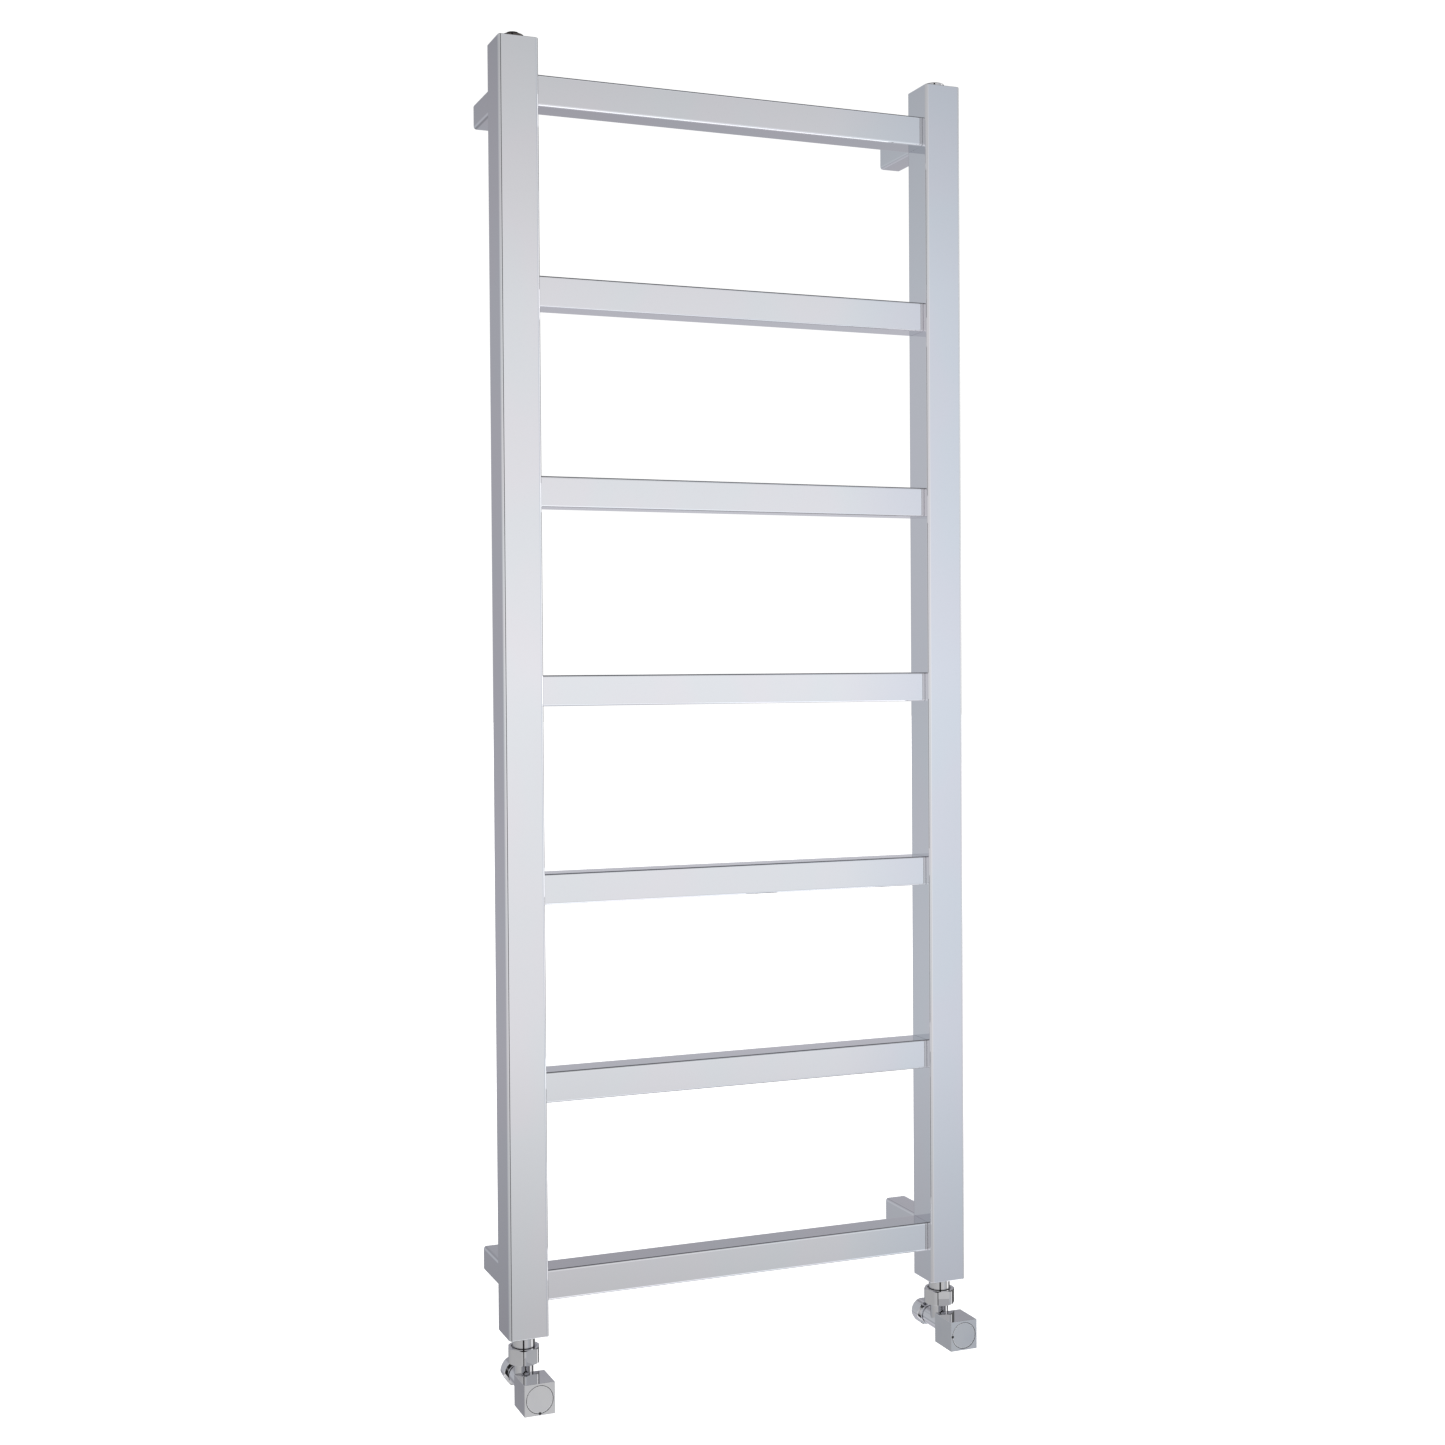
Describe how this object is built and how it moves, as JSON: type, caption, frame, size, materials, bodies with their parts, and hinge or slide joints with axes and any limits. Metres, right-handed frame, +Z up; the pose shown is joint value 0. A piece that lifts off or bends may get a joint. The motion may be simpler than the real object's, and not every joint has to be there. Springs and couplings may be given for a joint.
{
  "type": "ladder towel radiator with angled valves",
  "caption": "Chrome square-tube ladder towel radiator on telescoping wall brackets, with an air vent, a blanking plug and an angled cube-handled valve under each upright.",
  "frame": {"origin": "middle of the four wall fixing holes, on the wall face", "axes": "+X to the right as seen from the room, +Y into the wall, +Z up"},
  "size_m": [0.5, 0.146, 1.3202],
  "materials": {
    "chrome": "polished",
    "steel": "satin, zinc plated",
    "brass": "turned",
    "rubber": "matte",
    "black_plastic": "fine moulded"
  },
  "bodies": {
    "wall_fixings": {"wall_stub_top_left": "steel", "wall_stub_top_right": "steel", "wall_stub_bottom_left": "steel", "wall_stub_bottom_right": "steel"},
    "rail": {"upright_left": "chrome", "upright_right": "chrome", "crossbar_1": "chrome", "crossbar_2": "chrome", "crossbar_3": "chrome", "crossbar_4": "chrome", "crossbar_5": "chrome", "crossbar_6": "chrome", "crossbar_7": "chrome", "end_plate_top_left": "chrome", "end_plate_top_right": "chrome", "end_plate_bottom_left": "chrome", "end_plate_bottom_right": "chrome", "rail_bosses": "steel", "bracket_sleeve_top_left": "chrome", "bracket_sleeve_top_right": "chrome", "bracket_sleeve_bottom_left": "chrome", "bracket_sleeve_bottom_right": "chrome", "bracket_screws": "steel", "grub_screws": "steel", "port_o_rings": "rubber", "vent_body": "chrome", "blanking_plug": "chrome", "left_tailpiece": "chrome", "left_union_washer": "rubber", "left_union_nut": "chrome", "left_valve_body": "chrome", "left_compression_nut": "chrome", "left_olive": "brass", "left_bonnet": "brass", "left_spindle_o_ring": "rubber", "right_tailpiece": "chrome", "right_union_washer": "rubber", "right_union_nut": "chrome", "right_valve_body": "chrome", "right_compression_nut": "chrome", "right_olive": "brass", "right_bonnet": "brass", "right_spindle_o_ring": "rubber"},
    "left_handle": {"left_handle": "chrome", "left_handle_cap": "chrome", "left_handle_screw": "steel", "left_spindle": "brass"},
    "left_plug": {"left_plug_carrier": "brass", "left_valve_washer": "rubber"},
    "right_handle": {"right_handle": "chrome", "right_handle_cap": "chrome", "right_handle_screw": "steel", "right_spindle": "brass"},
    "right_plug": {"right_plug_carrier": "brass", "right_valve_washer": "rubber"},
    "bleed_tip": {"bleed_seal": "rubber"},
    "bleed_screw": {"bleed_screw": "brass"},
    "vent_collar": {"vent_collar": "black_plastic"}
  },
  "joints": [
    {"name": "bracket_depth", "type": "slide", "parent": "wall_fixings", "child": "rail", "axis": [0, -1, 0], "range_m": [0, 0.015]},
    {"name": "left_handle_turn", "type": "hinge", "parent": "rail", "child": "left_handle", "pos_m": [-0.23, -0.095, -0.672], "axis": [0, -1, 0], "range_deg": [0, 900]},
    {"name": "left_plug_travel", "type": "slide", "parent": "rail", "child": "left_plug", "axis": [0, -1, 0], "range_m": [0, 0.0038]},
    {"name": "right_handle_turn", "type": "hinge", "parent": "rail", "child": "right_handle", "pos_m": [0.23, -0.095, -0.672], "axis": [0, -1, 0], "range_deg": [0, 900]},
    {"name": "right_plug_travel", "type": "slide", "parent": "rail", "child": "right_plug", "axis": [0, -1, 0], "range_m": [0, 0.0038]},
    {"name": "bleed_lift", "type": "slide", "parent": "rail", "child": "bleed_tip", "axis": [0, 0, 1], "range_m": [0, 0.001]},
    {"name": "bleed_turn", "type": "hinge", "parent": "bleed_tip", "child": "bleed_screw", "pos_m": [-0.23, -0.095, 0.625], "axis": [0, 0, 1], "range_deg": [0, 365]},
    {"name": "vent_collar_turn", "type": "hinge", "parent": "rail", "child": "vent_collar", "pos_m": [-0.23, -0.095, 0.625], "axis": [0, 0, 1], "continuous": true}
  ],
  "couplings": [
    {"joint": "left_plug_travel", "follows": "left_handle_turn", "m_per_rad": 0.00023873},
    {"joint": "right_plug_travel", "follows": "right_handle_turn", "m_per_rad": 0.00023873},
    {"joint": "bleed_turn", "follows": "bleed_lift", "rad_per_m": 6283.2}
  ]
}
